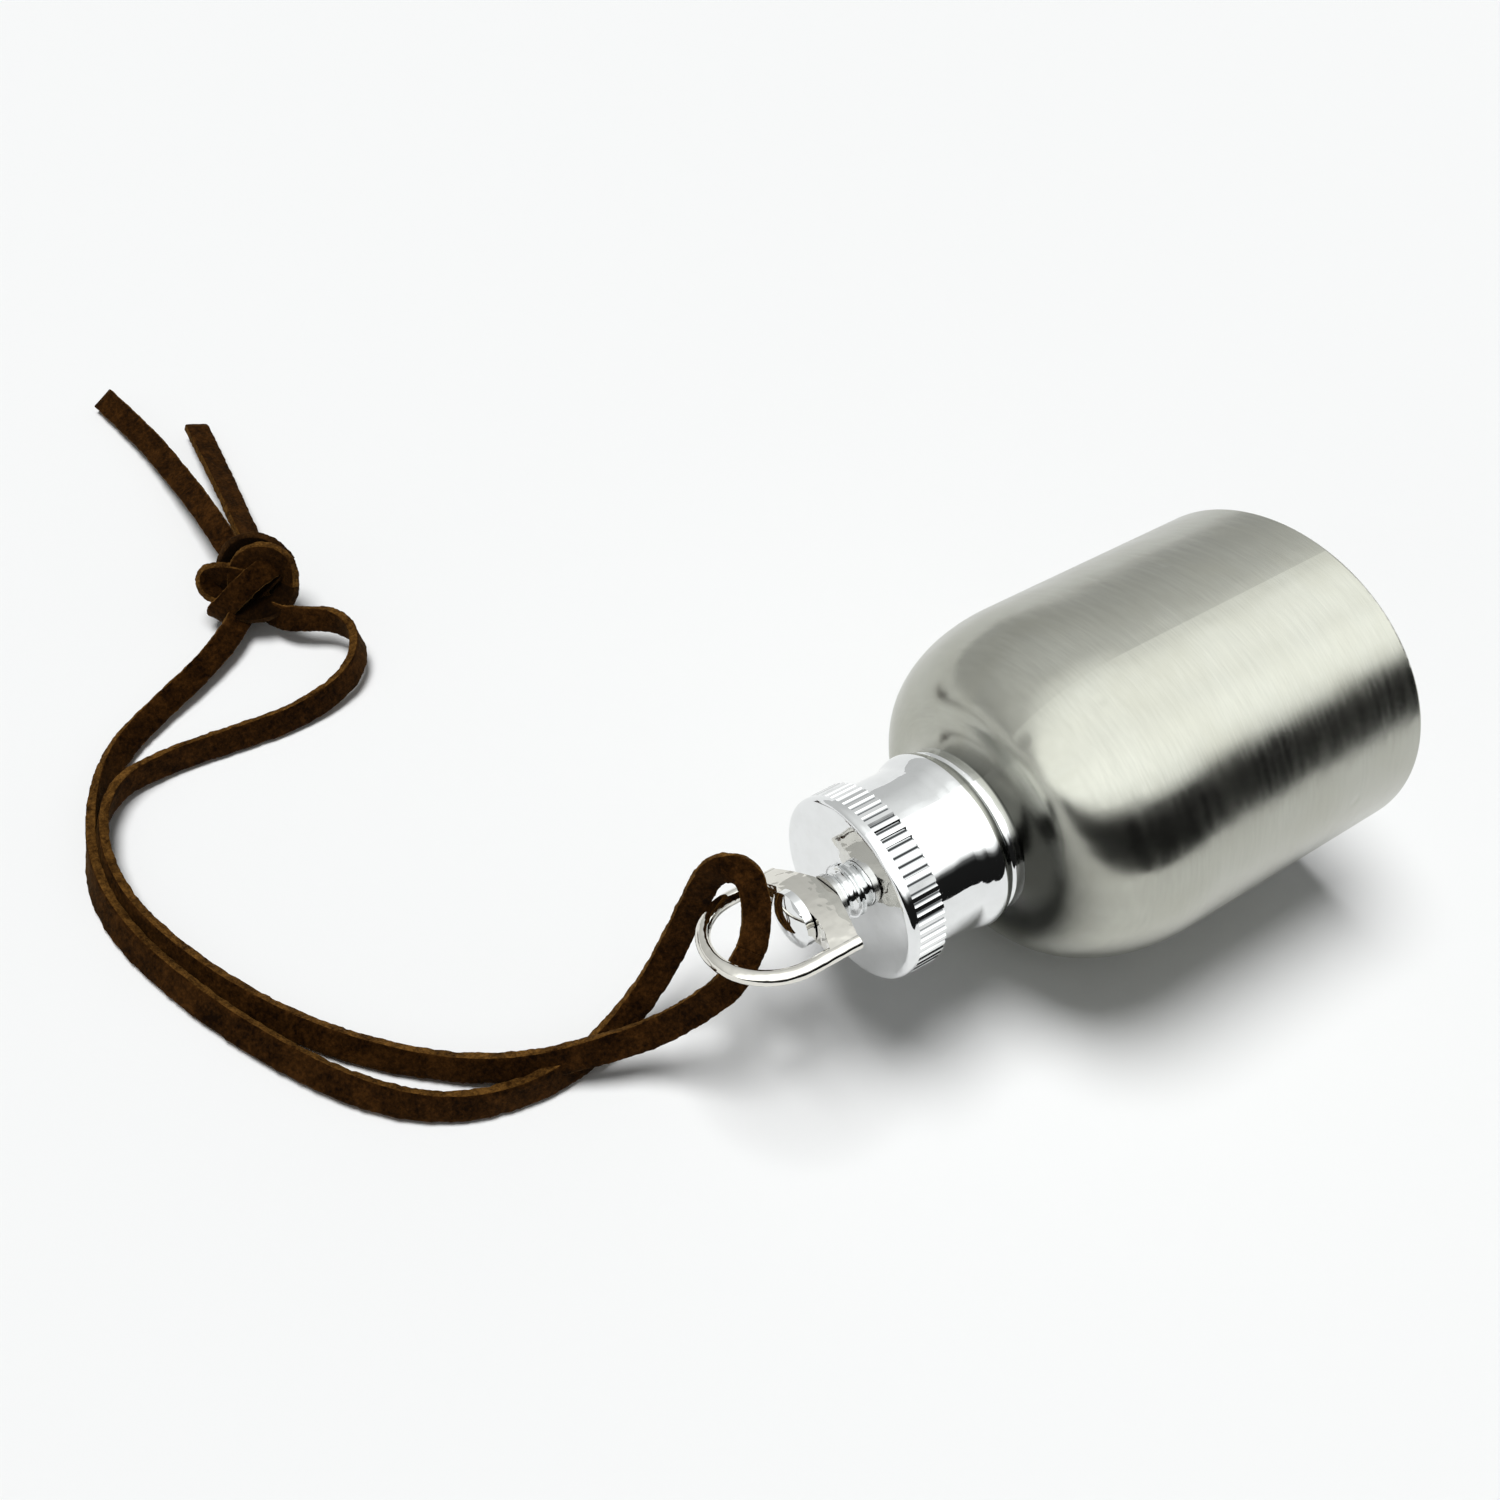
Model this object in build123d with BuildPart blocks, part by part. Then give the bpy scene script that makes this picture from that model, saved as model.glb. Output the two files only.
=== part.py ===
"""Small stainless canteen lying on its side, with a screw cap, a swivel D-ring and a suede lace.

Millimetres, +Z up. The canteen's axis runs along X at the height of the body's radius, with the
cap toward -X. The floor is z = 0 and x = 0 is midway between the base and the tip of the D-ring.
"""
import os
from math import acos, cos, pi, radians, sin, tan

from build123d import *

os.makedirs("parts", exist_ok=True)

# ---- body ------------------------------------------------------------------------------
BODY_R = 20.0              # outside radius, and the height of the axis above the floor
BASE_X = 40.0              # standing face of the base
WALL = 0.8
SHOULDER_X = -5.0          # front plane of the shoulder
SHOULDER_LEN = 14.0        # along the axis
SHOULDER_FLAT_R = 12.2     # where the shoulder curve ends on the front plane
NECK_SEAT_X = -6.6         # where the drawn neck ends
NECK_SEAT_R = 9.0
NECK_R = 7.0               # outside of the neck tube

# ---- neck and thread -------------------------------------------------------------------
NECK_BORE_R = 5.6
NECK_LIP_X = -18.0
PITCH = 2.5
THREAD_START_X = -10.0
MALE_TURNS = 2.5
MALE_CREST_R = 7.7
FEMALE_TURNS = 1.5
FEMALE_CREST_R = 7.25

# ---- cap -------------------------------------------------------------------------------
CAP_RIM_X = -8.8           # open rim of the cap
CAP_BEAD_R = 9.85
CAP_SKIRT_R = 9.15
KNURL_X = -18.2            # rear edge of the knurled band
KNURL_R = 10.1
KNURL_COUNT = 64
KNURL_DEPTH = 0.28
KNURL_END_X = -21.5
CAP_FACE_X = -22.6
CAP_BORE_R = 8.6
CAP_ROOF_X = -20.6         # underside of the cap's top wall
INSERT_R = 8.0             # inside of the threaded liner
LINER_ROOF_X = -19.6

# ---- swivel ----------------------------------------------------------------------------
POST_R = 1.2
SPOOL_R = 2.9
SPOOL_WAIST_R = 2.1
SPOOL_TIP_R = 2.5
SPOOL_END_X = -24.3
WASHER_T = 0.55
HEAD_X = -28.9             # flat side of the post's head
HEAD_R = 3.0
HEAD_TIP_X = -30.8         # top of its shallow dome
HEAD_DOME_R = 5.1

# ---- D-ring ----------------------------------------------------------------------------
RING_X = -26.6             # outer end of the bow's legs
STRAP_OUT = 1.6            # the strap's seat stands this far toward the cap
STRAP_IN = 2.15            # its inner edge, on the bow's side
STRAP_H = 3.8              # height at the post; it tapers to the wire at the ends
RING_HALF = 7.6            # half of the straight side, to the outside of the wire
RING_LEG = 5.8             # straight part of each side of the bow
WIRE_R = 0.8
RING_ROLL = 23.0           # degrees that the ring is turned about the axis at rest

# ---- lace ------------------------------------------------------------------------------
LACE_W, LACE_T = 3.0, 1.5  # the real flat section
LACE_R = 1.2               # round stand-in with the same area
KNOT_AT = (-55.3, 84.5, 4.7)
KNOT_LEN, KNOT_R = 11.2, 4.6

AXIS = Axis((0, 0, BODY_R), (1, 0, 0))
SIDE = Plane(origin=(0, 0, BODY_R), x_dir=(1, 0, 0), z_dir=(0, -1, 0))   # local (x, radius)


def cross_plane(x):
    """Plane square to the axis at x, with its normal toward the cap end."""
    return Plane(origin=(x, 0, BODY_R), x_dir=(0, -1, 0), z_dir=(-1, 0, 0))


def shoulder_curve(inset):
    """Ellipse quarter from the front plane to the cylinder, moved in by the wall."""
    return EllipticalCenterArc(
        (SHOULDER_X + SHOULDER_LEN, SHOULDER_FLAT_R),
        SHOULDER_LEN - inset, BODY_R - SHOULDER_FLAT_R - inset, start_angle=90, arc_size=90,
    )


# ---- body shell: one deep-drawn piece ----------------------------------------------------
with BuildPart() as body_shell:
    with BuildSketch(SIDE):
        with BuildLine():
            shoulder_curve(0)
            Line((SHOULDER_X + SHOULDER_LEN, BODY_R), (BASE_X - 0.5, BODY_R))
            CenterArc((BASE_X - 0.5, BODY_R - 0.5), 0.5, 0, 90)
            Line((BASE_X, BODY_R - 0.5), (BASE_X, BODY_R - WALL))
            Line((BASE_X, BODY_R - WALL), (SHOULDER_X + SHOULDER_LEN, BODY_R - WALL))
            shoulder_curve(WALL)
            ThreePointArc(
                (SHOULDER_X + WALL, SHOULDER_FLAT_R), (-4.52, 10.7), (NECK_SEAT_X + WALL, NECK_SEAT_R)
            )
            Polyline(
                (NECK_SEAT_X + WALL, NECK_SEAT_R), (NECK_SEAT_X + WALL, NECK_R),
                (NECK_SEAT_X, NECK_R), (NECK_SEAT_X, NECK_SEAT_R),
            )
            ThreePointArc(
                (NECK_SEAT_X, NECK_SEAT_R), (-5.32, 10.7), (SHOULDER_X, SHOULDER_FLAT_R)
            )
        make_face()
    revolve(axis=AXIS)
body_shell.part.label = "body_shell"
export_step(body_shell.part, "parts/body_shell.step")

# ---- base: a shallow cup pressed into the open end ---------------------------------------
with BuildPart() as base_cup:
    with BuildSketch(SIDE):
        with BuildLine():
            Polyline(
                (BASE_X - 2.0, 0), (BASE_X - 2.0, BODY_R - WALL - 0.6), (BASE_X - 1.6, BODY_R - WALL),
                (BASE_X, BODY_R - WALL), (BASE_X, BODY_R - WALL - 0.6), (BASE_X - 1.3, BODY_R - WALL - 0.6),
                (BASE_X - 1.3, 14.0), (BASE_X - 1.7, 12.5), (BASE_X - 1.7, 0), (BASE_X - 2.0, 0),
            )
        make_face()
    revolve(axis=AXIS)
base_cup.part.label = "base_cup"
export_step(base_cup.part, "parts/base_cup.step")


def thread(start_x, turns, radius, section):
    """Right-hand ridge climbing toward the cap; section is (half width, radius) pairs."""
    with BuildPart() as ridge:
        with BuildLine() as path:
            Helix(
                pitch=PITCH, height=PITCH * turns, radius=radius,
                center=(start_x, 0, BODY_R), direction=(-1, 0, 0),
            )
        start = path.line @ 0
        out = Vector(0, start.Y, start.Z - BODY_R).normalized()
        with BuildSketch(Plane(origin=start, x_dir=out, z_dir=path.line % 0)):
            (w0, r0), (w1, r1) = section
            Polygon(
                (r0 - radius, -w0), (r1 - radius, -w1), (r1 - radius, w1), (r0 - radius, w0),
                align=None,
            )
        sweep(path=path.line, is_frenet=True)
    return ridge.part


# ---- neck tube with its thread -------------------------------------------------------------
with BuildPart() as neck_tube:
    with BuildSketch(SIDE):
        with BuildLine():
            Polyline(
                (-4.4, NECK_BORE_R), (-4.4, NECK_R + 0.9), (NECK_SEAT_X + WALL, NECK_R + 0.9),
                (NECK_SEAT_X + WALL, NECK_R), (NECK_LIP_X + 0.3, NECK_R), (NECK_LIP_X, NECK_R - 0.3),
                (NECK_LIP_X, NECK_BORE_R + 0.3), (NECK_LIP_X + 0.3, NECK_BORE_R), (-4.4, NECK_BORE_R),
            )
        make_face()
    revolve(axis=AXIS)
    add(thread(THREAD_START_X, MALE_TURNS, NECK_R, ((0.65, NECK_R - 0.15), (0.3, MALE_CREST_R))))
neck_tube.part.label = "neck_tube"
export_step(neck_tube.part, "parts/neck_tube.step")

# ---- neck ring: the bright seat round the foot of the neck ----------------------------------
with BuildPart() as neck_ring:
    with BuildSketch(SIDE):
        with Locations(((NECK_SEAT_X + CAP_RIM_X) / 2 + 0.1, (NECK_R + 9.3) / 2)):
            RectangleRounded(NECK_SEAT_X - CAP_RIM_X - 0.2, 9.3 - NECK_R, 0.5)
    revolve(axis=AXIS)
neck_ring.part.label = "neck_ring"
export_step(neck_ring.part, "parts/neck_ring.step")

# ---- cap shell: knurled band, smooth skirt and rolled rim bead -------------------------------
with BuildPart() as cap_shell:
    with BuildSketch(SIDE):
        with BuildLine():
            Polyline(
                (CAP_FACE_X, POST_R), (CAP_FACE_X, KNURL_R - 0.7),
            )
            CenterArc((CAP_FACE_X + 0.7, KNURL_R - 0.7), 0.7, 90, 90)
            Polyline(
                (CAP_FACE_X + 0.7, KNURL_R), (KNURL_END_X, KNURL_R), (KNURL_END_X, KNURL_R - KNURL_DEPTH),
                (KNURL_X, KNURL_R - KNURL_DEPTH), (KNURL_X, CAP_SKIRT_R), (-12.4, CAP_SKIRT_R),
            )
            ThreePointArc((-12.4, CAP_SKIRT_R), (-11.72, 9.27), (-11.2, CAP_BEAD_R - 0.3))
            ThreePointArc((-11.2, CAP_BEAD_R - 0.3), (-10.0, CAP_BEAD_R), (CAP_RIM_X, CAP_BEAD_R - 0.4))
            Polyline(
                (CAP_RIM_X, CAP_BEAD_R - 0.4), (CAP_RIM_X, CAP_BORE_R), (CAP_ROOF_X, CAP_BORE_R),
                (CAP_ROOF_X, POST_R), (CAP_FACE_X, POST_R),
            )
        make_face()
    revolve(axis=AXIS)
    with BuildSketch(cross_plane(KNURL_X)):
        tooth = []
        for i in range(KNURL_COUNT):
            for part, r in ((-0.5, KNURL_R - KNURL_DEPTH), (-0.22, KNURL_R), (0.22, KNURL_R)):
                a = 2 * pi * (i + part) / KNURL_COUNT
                tooth.append((r * cos(a), r * sin(a)))
        with BuildLine():
            Polyline(*tooth, close=True)
        make_face()
        Circle(KNURL_R - 1.2, mode=Mode.SUBTRACT)
    extrude(amount=KNURL_X - KNURL_END_X)
cap_shell.part.label = "cap_shell"
export_step(cap_shell.part, "parts/cap_shell.step")

# ---- cap liner: the moulded insert with the inside thread ------------------------------------
with BuildPart() as cap_liner:
    with BuildSketch(SIDE):
        with BuildLine():
            Polyline(
                (CAP_RIM_X - 0.8, INSERT_R + 0.2), (CAP_RIM_X - 0.8, CAP_BORE_R), (CAP_ROOF_X, CAP_BORE_R),
                (CAP_ROOF_X, 2.4), (LINER_ROOF_X, 2.4), (LINER_ROOF_X, INSERT_R),
                (CAP_RIM_X - 1.0, INSERT_R), (CAP_RIM_X - 0.8, INSERT_R + 0.2),
            )
        make_face()
    revolve(axis=AXIS)
    add(thread(
        THREAD_START_X - PITCH / 2, FEMALE_TURNS, INSERT_R,
        ((0.55, INSERT_R + 0.15), (0.25, FEMALE_CREST_R)),
    ))
cap_liner.part.label = "cap_liner"
export_step(cap_liner.part, "parts/cap_liner.step")

# ---- cap gasket: the disc that closes on the neck's lip --------------------------------------
with BuildPart() as cap_gasket:
    with BuildSketch(cross_plane(NECK_LIP_X - 0.05)):
        Circle(INSERT_R - 0.05)
    extrude(amount=NECK_LIP_X - 0.05 - LINER_ROOF_X)
cap_gasket.part.label = "cap_gasket"
export_step(cap_gasket.part, "parts/cap_gasket.step")

# ---- swivel post: spool, shank and head, riveted through the cap -----------------------------
with BuildPart() as post_head:
    with BuildSketch(cross_plane(HEAD_X)):
        Circle(HEAD_R)
    extrude(amount=HEAD_X - HEAD_TIP_X)
    with Locations((HEAD_TIP_X + HEAD_DOME_R, 0, BODY_R)):
        Sphere(HEAD_DOME_R, mode=Mode.INTERSECT)

with BuildPart() as swivel_post:
    with BuildSketch(cross_plane(CAP_ROOF_X + 0.7)):
        Circle(POST_R)
    extrude(amount=CAP_ROOF_X + 0.7 - HEAD_X + 0.3)
    with BuildSketch(cross_plane(CAP_ROOF_X + 0.7)):
        Circle(2.1)
    extrude(amount=0.7)
    fillet(swivel_post.faces().sort_by(Axis.X)[-1].edges(), 0.4)
    with BuildSketch(SIDE):
        with BuildLine():
            Polyline(
                (CAP_FACE_X, POST_R - 0.3), (CAP_FACE_X, SPOOL_R - 0.15), (CAP_FACE_X - 0.15, SPOOL_R),
                (CAP_FACE_X - 0.35, SPOOL_R),
            )
            ThreePointArc(
                (CAP_FACE_X - 0.35, SPOOL_R), (-23.6, SPOOL_WAIST_R), (SPOOL_END_X + 0.25, SPOOL_TIP_R)
            )
            Polyline(
                (SPOOL_END_X + 0.25, SPOOL_TIP_R), (SPOOL_END_X, SPOOL_TIP_R),
                (SPOOL_END_X, POST_R - 0.3), (CAP_FACE_X, POST_R - 0.3),
            )
        make_face()
    revolve(axis=AXIS)
    add(post_head.part)
swivel_post.part.label = "swivel_post"
export_step(swivel_post.part, "parts/swivel_post.step")

# ---- swivel washer between the spool and the ring ---------------------------------------------
with BuildPart() as swivel_washer:
    with BuildSketch(cross_plane(SPOOL_END_X - 0.05)):
        Circle(2.6)
        Circle(POST_R + 0.08, mode=Mode.SUBTRACT)
    extrude(amount=WASHER_T)
swivel_washer.part.label = "swivel_washer"
export_step(swivel_washer.part, "parts/swivel_washer.step")

# ---- D-ring: strap and round bow, one casting --------------------------------------------------
near_side = Vector(0, -cos(radians(RING_ROLL)), sin(radians(RING_ROLL)))
ring_plane = Plane(origin=(RING_X, 0, BODY_R), x_dir=(-1, 0, 0), z_dir=Vector(-1, 0, 0).cross(near_side))
seat_plane = Plane(origin=(RING_X + STRAP_OUT, 0, BODY_R), x_dir=near_side, z_dir=(-1, 0, 0))
with BuildPart() as d_ring:
    mid = RING_HALF - WIRE_R
    with BuildSketch(ring_plane):
        Polygon(
            (0, mid), (-STRAP_OUT, 2.0), (-STRAP_OUT, -2.0), (0, -mid), (3.4, -mid), (2.5, -4.9),
            (STRAP_IN, -3.5), (STRAP_IN, 3.5), (2.5, 4.9), (3.4, mid), align=None,
        )
    extrude(amount=STRAP_H / 2, both=True)
    with BuildSketch(seat_plane):
        with BuildLine():
            ThreePointArc((-mid, WIRE_R), (0, STRAP_H / 2), (mid, WIRE_R))
            Line((mid, WIRE_R), (mid, -WIRE_R))
            ThreePointArc((mid, -WIRE_R), (0, -STRAP_H / 2), (-mid, -WIRE_R))
            Line((-mid, -WIRE_R), (-mid, WIRE_R))
        make_face()
    extrude(amount=STRAP_OUT + 4, mode=Mode.INTERSECT)
    with BuildLine(ring_plane) as bow:
        Line((0, mid), (RING_LEG, mid))
        RadiusArc((RING_LEG, mid), (RING_LEG, -mid), mid)
        Line((RING_LEG, -mid), (0, -mid))
    with BuildSketch(Plane(origin=bow.line @ 0, z_dir=bow.line % 0)):
        Circle(WIRE_R)
    sweep(path=bow.line)
    with BuildSketch(seat_plane):
        Circle(POST_R + 0.12)
    extrude(amount=STRAP_OUT + 4, mode=Mode.SUBTRACT)
d_ring.part.label = "d_ring"
export_step(d_ring.part, "parts/d_ring.step")

# ---- lace: two strands from the ring to the knot, then two free tails ---------------------------
STRAND_A = [
    (-34.1, 0.4, 16.9), (-36.2, -1.0, 15.6), (-39.6, 0.6, 11.6), (-43.4, 3.3, 6.6),
    (-48.6, 5.6, 4.3), (-55.6, 8.6, 2.9), (-63.8, 12.2, 1.3), (-73.0, 19.8, 1.3),
    (-79.8, 28.8, 1.4), (-84.8, 39.0, 2.6), (-87.0, 48.0, 3.8), (-86.2, 55.4, 3.9),
    (-82.4, 61.2, 3.8), (-75.6, 63.4, 2.4), (-66.6, 62.7, 1.3), (-58.0, 62.3, 1.4),
    (-50.8, 64.6, 2.8), (-48.0, 69.4, 4.4), (-51.4, 74.6, 5.0), (-53.6, 79.8, 5.1),
]
STRAND_B = [
    (-34.1, 0.4, 16.9), (-32.2, 1.6, 18.2), (-30.4, 4.3, 21.0), (-30.8, 6.4, 23.0),
    (-32.6, 8.7, 21.6), (-33.5, 9.0, 18.2), (-36.0, 8.3, 13.2), (-40.4, 6.9, 6.2),
    (-47.2, 5.2, 1.5), (-56.2, 4.1, 1.3), (-65.8, 6.7, 1.3), (-73.4, 13.3, 1.3),
    (-79.8, 22.9, 1.3), (-84.9, 32.9, 1.3), (-88.6, 43.0, 1.3), (-89.3, 52.0, 1.3),
    (-86.4, 60.4, 1.3), (-81.4, 66.4, 1.3), (-74.4, 70.2, 1.4), (-66.8, 74.4, 2.2),
    (-60.9, 79.2, 3.9), (-57.6, 82.2, 4.6),
]
TAIL_A = [
    (-56.0, 88.2, 5.6), (-56.0, 98.0, 4.9), (-56.4, 110.2, 3.1), (-57.4, 122.6, 1.6), (-60.0, 134.8, 1.3),
]
TAIL_B = [(-53.2, 87.6, 4.8), (-52.2, 97.6, 4.3), (-50.8, 109.6, 2.8), (-48.8, 121.4, 1.3)]


def bend_radii(points):
    """Radius of each bend: 0.45 of the shorter run beside it over the tangent of half its turn."""
    radii = []
    for a, b, c in zip(points, points[1:], points[2:]):
        u, v = Vector(*b) - Vector(*a), Vector(*c) - Vector(*b)
        turn = acos(u.normalized().dot(v.normalized()))
        radii.append(0.45 * min(u.length, v.length) / tan(turn / 2))
    return radii


def lace_piece(name, points):
    """Round tube along straight runs and tangent arcs; prints its bends and its length."""
    radii = bend_radii(points)
    with BuildPart() as piece:
        with BuildLine():
            route = FilletPolyline(*points, radius=radii)
        with BuildSketch(Plane(origin=route @ 0, z_dir=route % 0)):
            Circle(LACE_R)
        sweep(path=route)
    piece.part.label = name
    export_step(piece.part, f"parts/{name}.step")
    length = route.length
    share = piece.part.volume / (pi * LACE_R ** 2 * length)
    print(f"{name}: {length:.1f} mm, volume over section x length {share:.3f}")
    print("  bend radii", [round(r, 1) for r in radii])
    return piece.part


lace_pieces = [
    lace_piece("lace_strand_a", STRAND_A), lace_piece("lace_strand_b", STRAND_B),
    lace_piece("lace_tail_a", TAIL_A), lace_piece("lace_tail_b", TAIL_B),
]
lace_total = sum(piece.volume for piece in lace_pieces) / (pi * LACE_R ** 2)
print(f"lace outside the knot: {lace_total:.0f} mm of {LACE_W} x {LACE_T} mm suede")

# ---- knot: both strands tied together -------------------------------------------------------------
knot_plane = Plane(origin=KNOT_AT, x_dir=(0, 1, 0), z_dir=(1, 0, 0))
with BuildPart() as lace_knot:
    with BuildSketch(knot_plane):
        with BuildLine():
            EllipticalCenterArc((0, 0), KNOT_LEN / 2, KNOT_R, arc_size=180)
            Line((-KNOT_LEN / 2, 0), (KNOT_LEN / 2, 0))
        make_face()
    revolve(axis=Axis(KNOT_AT, (0, 1, 0)))
    add(lace_pieces, mode=Mode.SUBTRACT)
lace_knot.part.label = "lace_knot"
export_step(lace_knot.part, "parts/lace_knot.step")
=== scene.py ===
"""Looks for the miniature canteen: brushed steel body, chrome cap and D-ring, suede lace."""

import math

import bmesh
import bpy
import numpy as np
from mathutils import Matrix, Vector, noise


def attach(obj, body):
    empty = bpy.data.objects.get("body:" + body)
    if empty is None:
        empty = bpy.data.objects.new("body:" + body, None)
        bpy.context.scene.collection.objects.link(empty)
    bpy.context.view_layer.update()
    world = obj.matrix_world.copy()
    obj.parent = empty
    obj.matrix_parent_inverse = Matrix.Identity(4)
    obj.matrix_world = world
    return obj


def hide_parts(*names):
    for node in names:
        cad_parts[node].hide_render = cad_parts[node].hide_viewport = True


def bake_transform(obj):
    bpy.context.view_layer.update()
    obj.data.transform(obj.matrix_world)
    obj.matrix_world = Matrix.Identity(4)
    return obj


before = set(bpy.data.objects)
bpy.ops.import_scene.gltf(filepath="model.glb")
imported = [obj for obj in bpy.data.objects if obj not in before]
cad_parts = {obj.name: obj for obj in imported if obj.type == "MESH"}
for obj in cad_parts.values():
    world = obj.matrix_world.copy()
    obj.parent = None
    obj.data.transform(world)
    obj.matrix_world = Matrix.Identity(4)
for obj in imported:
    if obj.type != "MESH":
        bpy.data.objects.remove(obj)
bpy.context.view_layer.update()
MM = 0.001
AXIS_Z = 0.020             # height of the canteen's axis


# ---- camera ------------------------------------------------------------------------------
def make_camera():
    data = bpy.data.cameras.new("camera")
    data.sensor_width = 36.0
    data.lens = 36.0
    data.shift_x, data.shift_y = 0.14, -0.14
    data.clip_start, data.clip_end = 0.01, 20.0
    cam = bpy.data.objects.new("camera", data)
    bpy.context.scene.collection.objects.link(cam)
    right = Vector((0.86554, -0.50016, 0.02599)).normalized()
    back = Vector((-0.36849, -0.60082, 0.70938)).normalized()
    up = back.cross(right)
    rotation = Matrix((right, up, back)).transposed()
    cam.matrix_world = Matrix.Translation((-0.09510, -0.05496, 0.15513)) @ rotation.to_4x4()
    bpy.context.scene.camera = cam


make_camera()


# ---- node helpers ------------------------------------------------------------------------
class Shader:
    """A material's node tree, with short ways to add nodes."""

    def __init__(self, name, **values):
        self.material = bpy.data.materials.new(name)
        self.material.use_nodes = True
        self.tree = self.material.node_tree
        self.bsdf = self.tree.nodes["Principled BSDF"]
        for key, value in values.items():
            self.bsdf.inputs[key.replace("_", " ")].default_value = value

    def node(self, kind, inputs=None, **attributes):
        made = self.tree.nodes.new(kind)
        for key, value in attributes.items():
            setattr(made, key, value)
        for key, value in (inputs or {}).items():
            self.put(made.inputs[key], value)
        return made

    def put(self, socket, value):
        if isinstance(value, bpy.types.NodeSocket):
            self.tree.links.new(value, socket)
        else:
            socket.default_value = value

    def set(self, key, value):
        self.put(self.bsdf.inputs[key], value)

    def math(self, operation, a, b=0.0, c=0.0):
        made = self.node("ShaderNodeMath", operation=operation)
        for socket, value in zip(made.inputs, (a, b, c)):
            self.put(socket, value)
        return made.outputs[0]

    def position(self):
        return self.node("ShaderNodeTexCoord").outputs["Object"]

    def scaled(self, vector, scale):
        made = self.node("ShaderNodeMapping", {"Vector": vector})
        made.inputs["Scale"].default_value = scale
        return made.outputs[0]

    def noise(self, vector, scale, detail=4.0, roughness=0.5, distortion=0.0):
        made = self.node("ShaderNodeTexNoise", {
            "Vector": vector, "Scale": scale, "Detail": detail,
            "Roughness": roughness, "Distortion": distortion,
        })
        return made.outputs["Fac"]

    def remap(self, value, low, high, to_low=0.0, to_high=1.0, smooth=False):
        made = self.node("ShaderNodeMapRange", {
            "Value": value, "From Min": low, "From Max": high,
            "To Min": to_low, "To Max": to_high,
        })
        made.clamp = True
        if smooth:
            made.interpolation_type = "SMOOTHSTEP"
        return made.outputs[0]

    def ramp(self, value, stops):
        made = self.node("ShaderNodeValToRGB", {"Fac": value})
        ramp = made.color_ramp
        while len(ramp.elements) < len(stops):
            ramp.elements.new(0.5)
        for element, (place, colour) in zip(ramp.elements, stops):
            element.position = place
            element.color = (*colour, 1.0)
        return made.outputs[0]

    def blend(self, fac, a, b, kind="MIX"):
        made = self.node("ShaderNodeMix", data_type="RGBA", blend_type=kind)
        for socket, value in zip((made.inputs[0], made.inputs[6], made.inputs[7]), (fac, a, b)):
            self.put(socket, value)
        return made.outputs[2]

    def bump(self, height, distance, strength=1.0, normal=None):
        inputs = {"Height": height, "Distance": distance, "Strength": strength}
        if normal is not None:
            inputs["Normal"] = normal
        return self.node("ShaderNodeBump", inputs).outputs[0]


def from_axis(sh):
    """x, y and the height above the canteen's axis, and the distance from that axis."""
    x, y, height = sh.node("ShaderNodeSeparateXYZ", {"Vector": sh.position()}).outputs
    z = sh.math("SUBTRACT", height, AXIS_Z)
    radius = sh.math("SQRT", sh.math("ADD", sh.math("MULTIPLY", y, y),
                                     sh.math("MULTIPLY", z, z)))
    return x, y, z, radius


def along_turning(sh, x, y, z, radius):
    """Coordinates on a turned piece: (place along its profile, unit radial y, unit radial z)."""
    safe = sh.math("MAXIMUM", radius, SMALLEST_RADIUS)
    made = sh.node("ShaderNodeCombineXYZ", {
        "X": sh.math("SUBTRACT", x, radius),
        "Y": sh.math("DIVIDE", y, safe), "Z": sh.math("DIVIDE", z, safe),
    })
    return made.outputs[0]


# ---- materials ---------------------------------------------------------------------------
# Noise scales are per metre, and bump distances are in metres.
SMALLEST_RADIUS = 1e-4
QUARTER_TURN = 0.25
LUMP_DEPTH = 0.00012
# Painted shade in the crease round the body's neck: where it starts and fades, its strength, its
# lean toward -Y and its colour.
CREASE_FROM, CREASE_TO = 8.2 * MM, 12.6 * MM
CREASE_SHARE, CREASE_LEAN = 0.88, 0.30
CREASE_PAINTED_SHADE = (0.012, 0.013, 0.011, 1.0)
# Painted shade in the knurl's grooves: its strength and its colour.
GROOVE_SHARE, GROOVE_PAINTED_SHADE = 0.92, (0.05, 0.055, 0.06, 1.0)
PIT_DEPTH = 0.000002
NAP_DEPTH = 0.00022
MOULD_DEPTH = 0.000012


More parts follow.
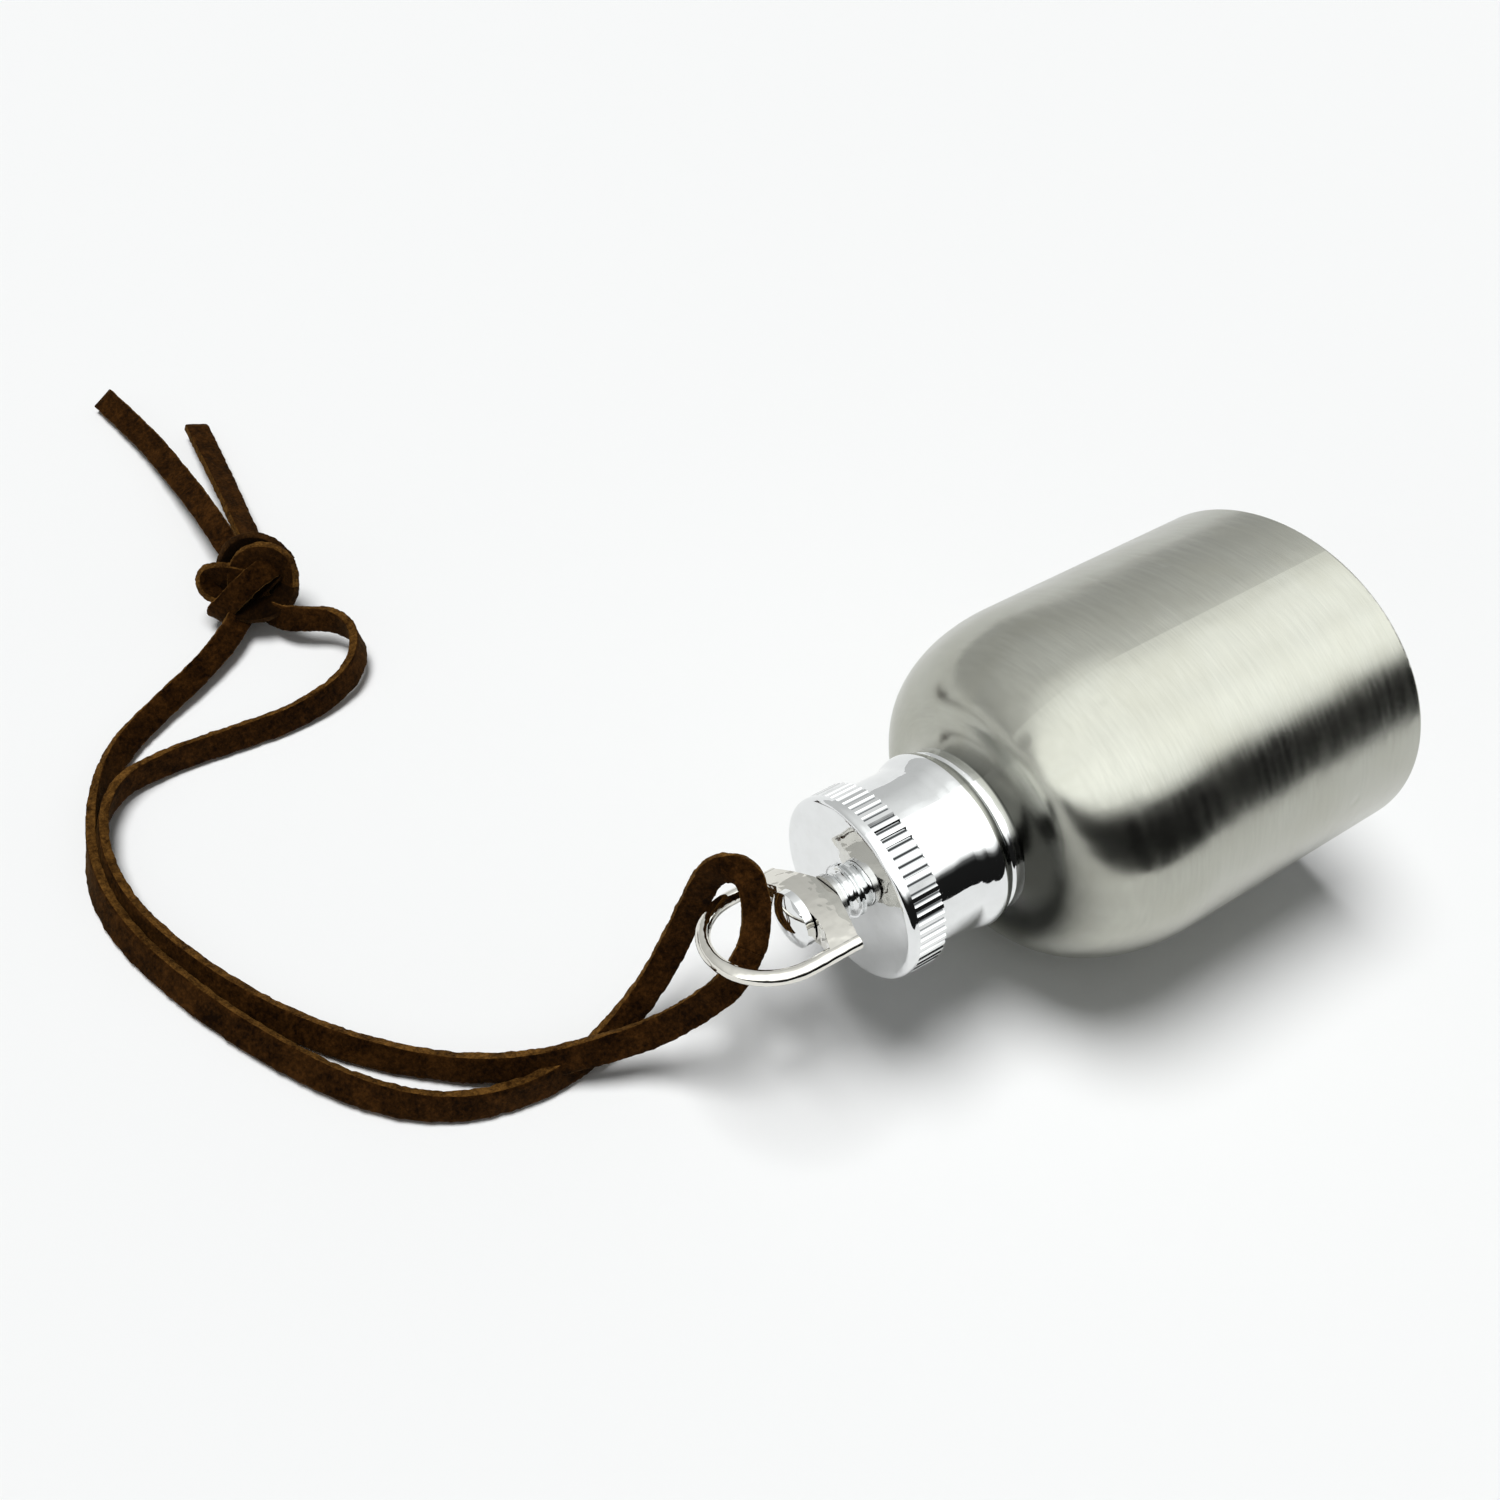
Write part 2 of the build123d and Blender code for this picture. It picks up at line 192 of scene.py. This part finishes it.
def brushed_steel(name, colour, roughness, anisotropy, depth, dents=()):
    """dents: x, y, z and size in mm of each small ding, on a piece of thin sheet."""
    sh = Shader(name, Metallic=1.0, Roughness=roughness, Anisotropic=anisotropy,
                Anisotropic_Rotation=QUARTER_TURN)
    x, y, z, radius = from_axis(sh)
    turned = along_turning(sh, x, y, z, radius)
    tangent = sh.node("ShaderNodeTangent", direction_type="RADIAL", axis="X")
    sh.set("Tangent", tangent.outputs[0])
    fine = sh.noise(sh.scaled(turned, (5200.0, 7.0, 7.0)), 1.0, 2.0, 0.5)
    coarse = sh.noise(sh.scaled(turned, (1500.0, 3.0, 3.0)), 1.0, 2.0, 0.5)
    cloud = sh.noise(sh.scaled(turned, (150.0, 3.0, 3.0)), 1.0, 3.0, 0.55)
    grain = sh.noise(sh.position(), 9000.0, 2.0, 0.6)
    streaks = sh.math("ADD", sh.math("MULTIPLY", fine, 0.55), sh.math("MULTIPLY", coarse, 0.45))
    dark = tuple(c * 0.86 for c in colour)
    tone = sh.blend(sh.remap(streaks, 0.3, 0.7), (*dark, 1.0), (*colour, 1.0))
    tone = sh.blend(sh.remap(cloud, 0.35, 0.75, 0.0, 0.35), tone,
                    (colour[0] * 0.82, colour[1] * 0.80, colour[2] * 0.74, 1.0))
    sh.set("Base Color", tone)
    rough = sh.remap(sh.math("ADD", sh.math("MULTIPLY", coarse, 0.6),
                             sh.math("MULTIPLY", cloud, 0.4)),
                     0.35, 0.65, roughness * 0.82, roughness * 1.22)
    sh.set("Roughness", rough)
    height = sh.math("ADD", streaks, sh.math("MULTIPLY", grain, 0.25))
    normal = sh.bump(height, depth)
    if dents:
        # handling has left the thin sheet slightly uneven, with a few small dings
        lumps = sh.noise(sh.position(), 120.0, 2.0, 0.5)
        for *centre, size in dents:
            gap = sh.node("ShaderNodeVectorMath",
                          {0: sh.position(), 1: tuple(c * MM for c in centre)},
                          operation="DISTANCE").outputs["Value"]
            pit = sh.remap(gap, 0.0, size * MM, 0.5, 0.0, smooth=True)
            lumps = sh.math("SUBTRACT", lumps, pit)
        normal = sh.bump(lumps, LUMP_DEPTH, 1.0, normal)
        # painted shade in the crease round the neck, standing in for the dark reflection there,
        # more of it toward -Y
        reach = sh.math("ADD", radius, sh.math("MULTIPLY", y, CREASE_LEAN))
        crease = sh.remap(reach, CREASE_FROM, CREASE_TO, CREASE_SHARE, 0.0, smooth=True)
        sh.set("Base Color", sh.blend(crease, tone, CREASE_PAINTED_SHADE))
    sh.set("Normal", normal)
    return sh.material


def chrome(name, roughness=0.035, wave=0.00004, wave_size=240.0, tint=(0.80, 0.81, 0.81),
           grooves=None):
    """grooves: first x, last x, groove radius and crest radius of a knurled band, whose grooves get
    painted shade.
    """
    sh = Shader(name, Metallic=1.0, Roughness=roughness)
    place = sh.position()
    waves = sh.noise(place, wave_size, 1.5, 0.45)
    pits = sh.noise(place, 2600.0, 3.0, 0.6)
    smear = sh.noise(place, 420.0, 4.0, 0.65)
    tone = sh.blend(sh.remap(smear, 0.45, 0.8, 0.0, 0.5), (*tint, 1.0),
                    (tint[0] * 0.86, tint[1] * 0.86, tint[2] * 0.85, 1.0))
    if grooves:
        first, last, low, high = grooves
        x, _, _, radius = from_axis(sh)
        inside = sh.math("MULTIPLY", sh.math("GREATER_THAN", x, first),
                         sh.math("LESS_THAN", x, last))
        # painted shade: the colour darkens toward the bottom of each groove of the knurled band
        deep = sh.remap(radius, low, high, GROOVE_SHARE, 0.0, smooth=True)
        tone = sh.blend(sh.math("MULTIPLY", inside, deep), tone, GROOVE_PAINTED_SHADE)
    sh.set("Base Color", tone)
    sh.set("Roughness", sh.remap(smear, 0.4, 0.75, roughness * 0.7, roughness * 2.2))
    normal = sh.bump(waves, wave, 1.0)
    sh.set("Normal", sh.bump(pits, PIT_DEPTH, 0.5, normal))
    return sh.material


def suede(name, dark, light, size=1.0):
    """Blotches and nap between two colours; a larger size is a finer pattern."""
    sh = Shader(name, Roughness=0.95, Sheen_Weight=0.07, Sheen_Roughness=0.4,
                Specular_IOR_Level=0.05)
    sh.set("Sheen Tint", (0.60, 0.36, 0.10, 1.0))
    place = sh.position()
    cloud = sh.noise(place, 330.0 * size, 4.0, 0.65, 0.4)
    nap = sh.noise(place, 1900.0 * size, 4.0, 0.75)
    mixed = sh.math("ADD", sh.math("MULTIPLY", cloud, 0.48), sh.math("MULTIPLY", nap, 0.52))
    middle = tuple((a * 0.6 + b * 0.4) for a, b in zip(dark, light))
    sh.set("Base Color", sh.ramp(mixed, [(0.40, dark), (0.52, middle), (0.64, light)]))
    height = sh.math("ADD", sh.math("MULTIPLY", cloud, 0.7), sh.math("MULTIPLY", nap, 0.5))
    sh.set("Normal", sh.bump(height, NAP_DEPTH, 0.9))
    return sh.material


def moulded(name, colour, roughness):
    sh = Shader(name, Roughness=roughness)
    place = sh.position()
    grain = sh.noise(place, 3500.0, 3.0, 0.6)
    cloud = sh.noise(place, 260.0, 3.0, 0.5)
    sh.set("Base Color", sh.blend(sh.remap(cloud, 0.35, 0.7), (*colour, 1.0),
                                  (*(c * 0.86 for c in colour), 1.0)))
    sh.set("Roughness", sh.remap(grain, 0.3, 0.7, roughness * 0.85, min(1.0, roughness * 1.15)))
    sh.set("Normal", sh.bump(grain, MOULD_DEPTH, 0.6))
    return sh.material


STEEL = (0.462, 0.465, 0.412)
DENTS = [(-4.2, -0.8, 34.8, 1.3), (-1.1, -16.4, 26.3, 1.2), (3.1, -2.9, 39.1, 0.9),
         (24.0, 8.0, 38.3, 1.1), (12.0, 17.5, 29.7, 1.3), (30.0, -19.6, 24.0, 1.0)]
KNURL = (-0.02149, -0.01821, 0.00983, 0.01004)
body_steel = brushed_steel("brushed_body", STEEL, 0.22, 0.80, 0.000004, DENTS)
base_steel = brushed_steel("brushed_base", (0.47, 0.475, 0.44), 0.30, 0.6, 0.000005)
neck_steel = brushed_steel("turned_neck", (0.68, 0.68, 0.66), 0.25, 0.5, 0.000004)
washer_steel = brushed_steel("stamped_washer", (0.70, 0.70, 0.69), 0.22, 0.3, 0.000003)
cap_chrome = chrome("cap_chrome", wave=0.00011, grooves=KNURL)
ring_chrome = chrome("neck_ring_chrome")
post_chrome = chrome("post_chrome", wave=0.00004, wave_size=300.0)
d_ring_chrome = chrome("d_ring_chrome", wave=0.00016, wave_size=520.0, tint=(0.76, 0.74, 0.68))
liner_plastic = moulded("liner_plastic", (0.80, 0.80, 0.76), 0.45)
gasket_rubber = moulded("gasket_rubber", (0.035, 0.035, 0.036), 0.75)
suede_face = suede("suede_face", (0.0045, 0.0016, 0.0005), (0.056, 0.022, 0.005))
suede_edge = suede("suede_edge", (0.020, 0.008, 0.002), (0.17, 0.080, 0.018), 1.4)
# Painted shade: darker copies of the suede and of its edge, for the knot's turns that lie in shade.
suede_painted_shade = suede("suede_painted_shade", (0.002, 0.0009, 0.0004), (0.016, 0.007, 0.002))
suede_edge_painted_shade = suede("suede_edge_painted_shade", (0.005, 0.002, 0.001), (0.05, 0.022, 0.006), 1.4)

CAD_FINISH = {
    "body_shell": body_steel, "base_cup": base_steel, "neck_tube": neck_steel,
    "neck_ring": ring_chrome, "cap_shell": cap_chrome, "cap_liner": liner_plastic,
    "cap_gasket": gasket_rubber, "swivel_post": post_chrome, "swivel_washer": washer_steel,
    "d_ring": d_ring_chrome,
}
for node_name, finish in CAD_FINISH.items():
    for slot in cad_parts[node_name].material_slots:
        slot.material = finish


# ---- lace --------------------------------------------------------------------------------
# the second pair of skins is the suede in painted shade
SKINS, PAINTED_SHADE_SKINS = (suede_face, suede_edge), (suede_painted_shade, suede_edge_painted_shade)
LACE_W, LACE_T = 3.0 * MM, 1.25 * MM
WIDE = 3.4 * MM            # the suede is cut a little wider toward its ends
CORNER = 0.22 * MM         # radius of the strip's long edges
ROUGH_SCALE, ROUGH_MM = 900.0, 0.09      # unevenness of the cut, and its finer fuzz
FUZZ_SCALE, FUZZ_MM = 2600.0, 0.08
FACE_ROUGHNESS = 0.8       # of what the cut edges have
EDGE_FROM = 0.93           # a side this far out, as a share of the half width, is a cut edge
SIDE_STEP = 2              # mm from the route to the line that gives the width's direction


def nurbs_line(name, points, resolution=24):
    """The smooth line that a NURBS spline makes of these control points, read as an array."""
    curve = bpy.data.curves.new(name, "CURVE")
    curve.dimensions = "3D"
    curve.resolution_u = resolution
    spline = curve.splines.new("NURBS")
    spline.points.add(len(points) - 1)
    for point, place in zip(spline.points, points):
        point.co = (*place, 1.0)
    spline.order_u = 3
    spline.use_endpoint_u = True
    holder = bpy.data.objects.new(name, curve)
    bpy.context.scene.collection.objects.link(holder)
    bpy.context.view_layer.update()
    mesh = bpy.data.meshes.new_from_object(holder)
    line = np.array([v.co for v in mesh.vertices])
    bpy.data.objects.remove(holder)
    bpy.data.curves.remove(curve)
    bpy.data.meshes.remove(mesh)
    return line


def lace_section(width, thickness):
    """Points (across, out) round a flat strip's section."""
    a, b = width / 2, thickness / 2
    ring = []
    for cx, cy, start in ((1, 1, 0), (-1, 1, 90), (-1, -1, 180), (1, -1, 270)):
        for step in (0, 45, 90):
            angle = math.radians(start + step)
            ring.append((cx * (a - CORNER) + CORNER * math.cos(angle),
                         cy * (b - CORNER) + CORNER * math.sin(angle)))
        if start in (0, 180):          # along a face, so that it can be uneven
            ring += [(cx * t * a, cy * b) for t in (0.6, 0.2, -0.2, -0.6)]
    return ring


def flat_strip(name, line, across, width=LACE_W, far_width=None, thickness=LACE_T, seed=0.0,
               skins=SKINS):
    """A mesh strip that follows line, its width along across, with slightly uneven cut edges."""
    ring = lace_section(width, thickness)
    widen = ((far_width or width) - width) / width
    count, last = len(ring), len(line) - 1
    verts = []
    for i, (centre, tangent, side) in enumerate(zip(line, np.gradient(line, axis=0), across)):
        t = Vector(tangent).normalized()
        w = Vector(side)
        w = (w - t * w.dot(t)).normalized()
        n = t.cross(w)
        centre = Vector(centre)
        stretch = 1.0 + widen * i / last
        for u, v in ring:
            u *= stretch
            base = centre + w * u + n * v
            jitter = noise.noise(base * ROUGH_SCALE + Vector((seed, 0, 0))) * ROUGH_MM
            jitter += noise.noise(base * FUZZ_SCALE + Vector((0, seed, 0))) * FUZZ_MM
            push = w * (u / width * 2) + n * (v / thickness * 2) * FACE_ROUGHNESS
            verts.append(base + push * jitter * MM)
    faces = []
    for i in range(last):
        for k in range(count):
            m = (k + 1) % count
            faces.append((i * count + k, i * count + m, (i + 1) * count + m, (i + 1) * count + k))
    side_count = len(faces)
    faces.append(tuple(range(count)))
    faces.append(tuple(last * count + k for k in reversed(range(count))))
    edge_faces = {k for k in range(count)
                  if abs(ring[k][0] + ring[(k + 1) % count][0]) > width * EDGE_FROM}
    mesh = bpy.data.meshes.new(name)
    mesh.from_pydata([tuple(v) for v in verts], [], faces)
    for skin in skins:
        mesh.materials.append(skin)
    for i, polygon in enumerate(mesh.polygons):
        polygon.use_smooth = i < side_count
        polygon.material_index = 1 if (i >= side_count or i % count in edge_faces) else 0
    work = bmesh.new()
    work.from_mesh(mesh)
    bmesh.ops.recalc_face_normals(work, faces=work.faces)
    work.to_mesh(mesh)
    work.free()
    obj = bpy.data.objects.new(name, mesh)
    bpy.context.scene.collection.objects.link(obj)
    return obj


def strip_along(name, route, seed, **section):
    """route: control points in mm, each with the direction of the lace's width there."""
    points = [[c * MM for c in row[:3]] for row in route]
    sides = [[p + d * SIDE_STEP * MM for p, d in zip(point, Vector(row[3:]).normalized())]
             for point, row in zip(points, route)]
    line = nurbs_line(name + "_line", points)
    side = nurbs_line(name + "_side", sides)
    return flat_strip(name, line, side - line, seed=seed, **section), line


STRAND_A = [
    (-34.1, 0.4, 16.9, 0.87, -0.50, 0.03), (-36.4, -1.0, 15.2, 0.55, -0.78, -0.10),
    (-39.9, 0.0, 10.8, 0.10, -0.85, -0.50), (-43.9, 1.9, 5.9, -0.15, -0.70, -0.70),
    (-49.3, 3.8, 4.1, -0.25, -0.60, -0.75), (-56.2, 6.4, 2.5, -0.20, -0.45, -0.85),
    (-64.2, 11.2, 1.6, -0.30, -0.40, -0.85), (-73.0, 19.2, 1.6, -0.48, -0.44, -0.75),
    (-79.8, 28.6, 1.7, -0.52, -0.32, -0.78), (-85.0, 39.0, 2.1, -0.50, -0.1, -0.85),
    (-87.6, 48.0, 2.4, -0.50, 0, -0.85), (-87.0, 56.2, 2.6, -0.40, 0, -0.90),
    (-83.0, 62.2, 2.5, -0.15, -0.15, -0.95), (-75.6, 63.6, 1.8, 0, -0.4, -0.9),
    (-66.6, 62.9, 1.6, 0, -0.5, -0.85),
    (-58.0, 62.3, 1.6, 0, -0.5, -0.85), (-50.0, 64.0, 2.8, 0.2, -0.35, -0.9),
    (-46.6, 68.6, 3.9, 0.3, -0.2, -0.9), (-48.2, 73.4, 4.0, -0.1, -0.3, -0.95),
    (-52.4, 75.8, 3.7, -0.2, -0.6, -0.8), (-54.6, 78.4, 2.9, -0.3, -0.5, -0.8),
    (-55.4, 81.6, 2.8, -0.3, -0.4, -0.85), (-55.4, 83.6, 3.2, -0.3, -0.3, -0.9),
]
STRAND_B = [
    (-34.1, 0.4, 16.9, 0.87, -0.50, 0.03), (-32.8, 1.2, 17.9, 0.87, -0.48, 0.05),
    (-31.4, 3.8, 20.4, 0.916, -0.094, 0.395), (-31.2, 6.2, 21.9, 0.60, 0.42, 0.68),
    (-33.0, 8.3, 20.9, -0.20, 0.80, 0.55), (-33.9, 9.0, 18.2, -0.74, 0.64, 0.20),
    (-36.2, 8.3, 13.2, -0.72, 0.64, 0.26), (-40.4, 6.9, 6.2, -0.62, 0.68, 0.38),
    (-47.2, 5.2, 1.8, -0.25, 0.62, 0.74), (-56.2, 4.1, 1.7, 0.15, 0.35, 0.93),
    (-65.8, 6.7, 1.6, 0.30, 0.42, 0.86), (-73.4, 13.3, 1.6, 0.50, 0.48, 0.72),
    (-79.8, 22.9, 1.6, 0.58, 0.40, 0.72), (-84.9, 32.9, 1.6, 0.60, 0.25, 0.76),
    (-88.6, 43.0, 1.6, 0.60, 0.05, 0.80), (-89.3, 52.0, 1.6, 0.40, 0.0, 0.90),
    (-86.4, 60.4, 1.7, 0.0, 0.2, 0.96), (-81.4, 67.4, 1.7, -0.30, 0.50, 0.80),
    (-74.8, 71.4, 1.7, -0.45, 0.62, 0.62), (-67.0, 74.8, 2.2, -0.50, 0.65, 0.55),
    (-61.0, 78.6, 2.7, -0.50, 0.65, 0.55), (-57.4, 82.4, 3.0, -0.50, 0.65, 0.55),
    (-55.4, 84.2, 3.3, -0.50, 0.65, 0.55),
]
TAIL_A = [
    (-56.0, 88.2, 5.6, 0.90, -0.1, 0.42), (-56.0, 98.0, 4.9, 0.90, -0.1, 0.42),
    (-56.4, 110.2, 3.1, 0.88, -0.1, 0.46), (-57.4, 122.6, 1.9, 0.86, -0.1, 0.50),
    (-60.0, 134.8, 1.6, 0.86, 0.1, 0.50),
]
TAIL_B = [
    (-53.2, 87.6, 4.8, 0.85, 0.1, -0.5), (-52.2, 97.6, 4.3, 0.85, 0.1, -0.5),
    (-50.8, 109.6, 2.8, 0.90, 0.1, -0.4), (-49.8, 121.6, 1.7, 0.95, 0, -0.3),
]
KNOT = (-55.3, 84.5, 4.7)        # its middle, in mm

strand_a, line_a = strip_along("lace_front_strand", STRAND_A, 1.0, far_width=WIDE)
strand_b, line_b = strip_along("lace_back_strand", STRAND_B, 2.0, far_width=WIDE)
tail_a, line_ta = strip_along("lace_long_tail", TAIL_A, 3.0, width=WIDE, far_width=WIDE * 1.08)
tail_b, line_tb = strip_along("lace_short_tail", TAIL_B, 4.0, width=WIDE, far_width=WIDE * 1.04)


# The knot's turns are laid out as seen from the front: mm to the right, up and toward the viewer.
KNOT_RIGHT = Vector((0.866, -0.500, 0.026))
KNOT_UP = Vector((0.339, 0.624, 0.704))
KNOT_OUT = Vector((-0.368, -0.601, 0.709))
TURN_SECTION = {"width": 3.3 * MM, "thickness": LACE_T}
CORE_SECTION = {"width": 5.4 * MM, "thickness": 2.4 * MM}


def from_knot(c):
    return KNOT_RIGHT * c[0] + KNOT_UP * c[1] + KNOT_OUT * c[2]


def knot_band(name, turns, seed, **section):
    """A flat band through the knot; each turn is a place, then the direction of its width."""
    route = [[*(Vector(KNOT) + from_knot(t[:3])), *from_knot(t[3:])] for t in turns]
    return strip_along(name, route, seed, **section)[0]


KNOT_TURNS = {
    "diagonal": [
        (-3.8, -5.2, 0.6, -0.7, 0.5, 0.5), (-4.7, -4.6, 2.0, -0.8, 0.6, 0.3),
        (-2.8, -3.2, 3.3, -0.73, 0.68, 0), (-0.6, -0.9, 3.8, -0.73, 0.68, 0),
        (1.4, 0.9, 3.2, -0.73, 0.68, 0), (2.9, 2.1, 1.6, -0.7, 0.6, 0.3),
    ],
    "lobe": [
        (-0.4, 0.2, 1.8, 0, 0.8, 0.5), (-2.4, 0.7, 2.3, 0, 0.8, 0.5),
        (-4.2, 1.0, 2.4, -0.1, 0.75, 0.6), (-5.7, 0.9, 2.1, -0.5, 0.5, 0.7),
        (-5.9, -0.5, 1.9, -0.7, 0.1, 0.7), (-5.0, -1.7, 1.8, -0.6, -0.3, 0.7),
        (-3.2, -2.1, 1.5, -0.3, -0.6, 0.7),
    ],
    "arch": [
        (-1.6, -1.2, 1.6, -0.85, 0.2, 0.3), (-1.5, 1.6, 2.5, -0.8, 0.45, 0.3),
        (0.2, 3.5, 2.9, -0.4, 0.75, 0.45), (3.0, 3.7, 2.7, 0.25, 0.75, 0.55),
        (5.1, 1.9, 2.0, 0.65, 0.45, 0.6), (5.1, -0.6, 1.4, 0.7, 0, 0.7),
    ],
    "right": [
        (4.2, 2.4, 0.6, 0.6, 0.3, 0.7), (5.4, -0.2, 1.3, 0.8, 0, 0.55),
        (4.3, -3.0, 1.9, 0.6, -0.6, 0.5), (1.6, -4.1, 2.5, 0.1, -0.85, 0.45),
        (-1.4, -4.1, 2.5, -0.1, -0.85, 0.4), (-3.6, -3.4, 1.5, -0.4, -0.7, 0.5),
    ],
    "top": [
        (-2.2, -2.0, 0.2, -0.7, 0, 0.7), (-3.5, 0.8, 0.8, -0.7, 0.1, 0.7),
        (-2.9, 3.8, 1.2, -0.5, 0.5, 0.7), (-0.4, 5.3, 1.5, 0, 0.75, 0.7),
        (2.8, 4.7, 1.3, 0.35, 0.65, 0.7), (4.6, 2.4, 0.4, 0.6, 0.3, 0.75),
    ],
    "back": [
        (-3.4, -2.0, -0.4, -0.4, -0.2, 0.9), (0, -3.4, -0.4, 0, -0.4, 0.9),
        (3.2, -1.8, -0.6, 0.4, -0.2, 0.9), (3.2, 1.8, -0.8, 0.4, 0.2, 0.9),
        (0, 3.4, -0.8, 0, 0.4, 0.9), (-3.0, 1.6, -0.8, -0.4, 0.2, 0.9),
    ],
    "core": [
        (-2.4, -2.4, 0.9, -0.7, 0.7, 0), (0, 0, 1.1, -0.7, 0.7, 0), (2.4, 2.4, 0.9, -0.7, 0.7, 0),
    ],
}
PAINTED_SHADE_TURNS = {"right", "top", "back", "core"}   # these turns are drawn in painted shade, with darker copies of the suede
bands = [knot_band("lace_knot_" + part, turns, 5.0 + i,
                   skins=PAINTED_SHADE_SKINS if part in PAINTED_SHADE_TURNS else SKINS,
                   **(CORE_SECTION if part == "core" else TURN_SECTION))
         for i, (part, turns) in enumerate(KNOT_TURNS.items())]

for piece, node_name in ((strand_a, "lace_strand_a"), (strand_b, "lace_strand_b"),
                         (tail_a, "lace_tail_a"), (tail_b, "lace_tail_b"),
                         (bands[0], "lace_knot")):
    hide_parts(node_name)

# The strands' placing is baked into their meshes; the tails and the knot's turns are attached to
# the washer.
for piece in (strand_a, strand_b):
    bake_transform(piece)
for piece in (tail_a, tail_b, *bands):
    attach(piece, "washer")


# ---- floor and light ---------------------------------------------------------------------
FLOOR_SIDE = 1.6
FLOOR_FRONT = 0.20         # it ends in front, so that low reflections are of the dark room
FLOOR_COLOUR = (0.88, 0.888, 0.888, 1.0)


def make_floor():
    mesh = bpy.data.meshes.new("floor")
    mesh.from_pydata([(-FLOOR_SIDE, -FLOOR_FRONT, 0), (FLOOR_SIDE, -FLOOR_FRONT, 0),
                      (FLOOR_SIDE, FLOOR_SIDE, 0), (-FLOOR_SIDE, FLOOR_SIDE, 0)],
                     [], [(0, 1, 2, 3)])
    floor = bpy.data.objects.new("floor", mesh)
    bpy.context.scene.collection.objects.link(floor)
    sh = Shader("pale_floor", Roughness=0.7, Specular_IOR_Level=0.12)
    sh.set("Base Color", FLOOR_COLOUR)
    mesh.materials.append(sh.material)


make_floor()


# The room's brightness by angle about the canteen's axis: 0 overhead, 90 level with the floor on
# the camera's side, -90 level with it behind.
STUDIO_BANDS = [
    (-92, 0.60), (-70, 0.62), (-45, 0.84), (-33, 0.92), (-22, 1.42), (-12, 1.76), (4, 1.86),
    (18, 1.82), (30, 1.99), (43, 1.96), (53, 1.62), (58, 0.85), (63, 0.12), (68, 0.012),
    (92, 0.010),
]
RAMP_TOP = 2.0             # a ramp's colours end at 1, so the levels are stored as a share of this
ROOM_ON_DULL = 0.07        # share of the room's light that dull surfaces get; the key does the rest
BACKDROP = 0.93            # the room as the camera sees it past the floor
ROOM_COLOUR = (0.985, 1.0, 0.995, 1.0)
KEY_FROM = (-0.10, 0.22, 0.97)
KEY_STRENGTH = 2.98
KEY_SPREAD = 30            # degrees


def make_world():
    """Soft studio surroundings: a broad light overhead, a grey room behind, a dark one in front."""
    world = bpy.data.worlds.new("studio")
    bpy.context.scene.world = world
    world.use_nodes = True
    tree = world.node_tree
    nodes, links = tree.nodes, tree.links
    background = nodes["Background"]
    coords = nodes.new("ShaderNodeTexCoord")
    split = nodes.new("ShaderNodeSeparateXYZ")
    links.new(coords.outputs["Generated"], split.inputs[0])

    def number(operation, a, b=0.0):
        made = nodes.new("ShaderNodeMath")
        made.operation = operation
        for socket, value in zip(made.inputs, (a, b)):
            if isinstance(value, bpy.types.NodeSocket):
                links.new(value, socket)
            else:
                socket.default_value = value
        return made.outputs[0]

    _, y, z = split.outputs
    turn = number("ARCTAN2", number("MULTIPLY", y, -1.0), z)     # 0 overhead, + toward the camera
    place = number("ADD", number("DIVIDE", turn, 2 * math.pi), 0.5)
    ramp_node = nodes.new("ShaderNodeValToRGB")
    links.new(place, ramp_node.inputs[0])
    ramp = ramp_node.color_ramp
    while len(ramp.elements) < len(STUDIO_BANDS):
        ramp.elements.new(0.5)
    for element, (degrees, level) in zip(ramp.elements, STUDIO_BANDS):
        element.position = degrees / 360 + 0.5
        element.color = (*[level / RAMP_TOP] * 3, 1.0)
    light = number("MULTIPLY", ramp_node.outputs[0], RAMP_TOP)
    path = nodes.new("ShaderNodeLightPath")
    dimmed = number("MULTIPLY", path.outputs["Is Diffuse Ray"], 1.0 - ROOM_ON_DULL)
    light = number("MULTIPLY", light, number("SUBTRACT", 1.0, dimmed))
    mix = nodes.new("ShaderNodeMix")
    mix.data_type = "FLOAT"
    links.new(path.outputs["Is Camera Ray"], mix.inputs[0])
    links.new(light, mix.inputs[2])
    mix.inputs[3].default_value = BACKDROP
    links.new(mix.outputs[0], background.inputs["Strength"])
    background.inputs["Color"].default_value = ROOM_COLOUR


make_world()


def make_key_light():
    """A big soft lamp high behind the canteen, which draws its short shadow toward the camera."""
    data = bpy.data.lights.new("key", "SUN")
    data.energy = KEY_STRENGTH
    data.angle = math.radians(KEY_SPREAD)
    lamp = bpy.data.objects.new("key", data)
    bpy.context.scene.collection.objects.link(lamp)
    lamp.rotation_euler = Vector(KEY_FROM).to_track_quat("Z", "Y").to_euler()
    lamp.visible_glossy = False


make_key_light()
scene = bpy.context.scene
scene.view_settings.view_transform = "Standard"
scene.view_settings.look = "None"
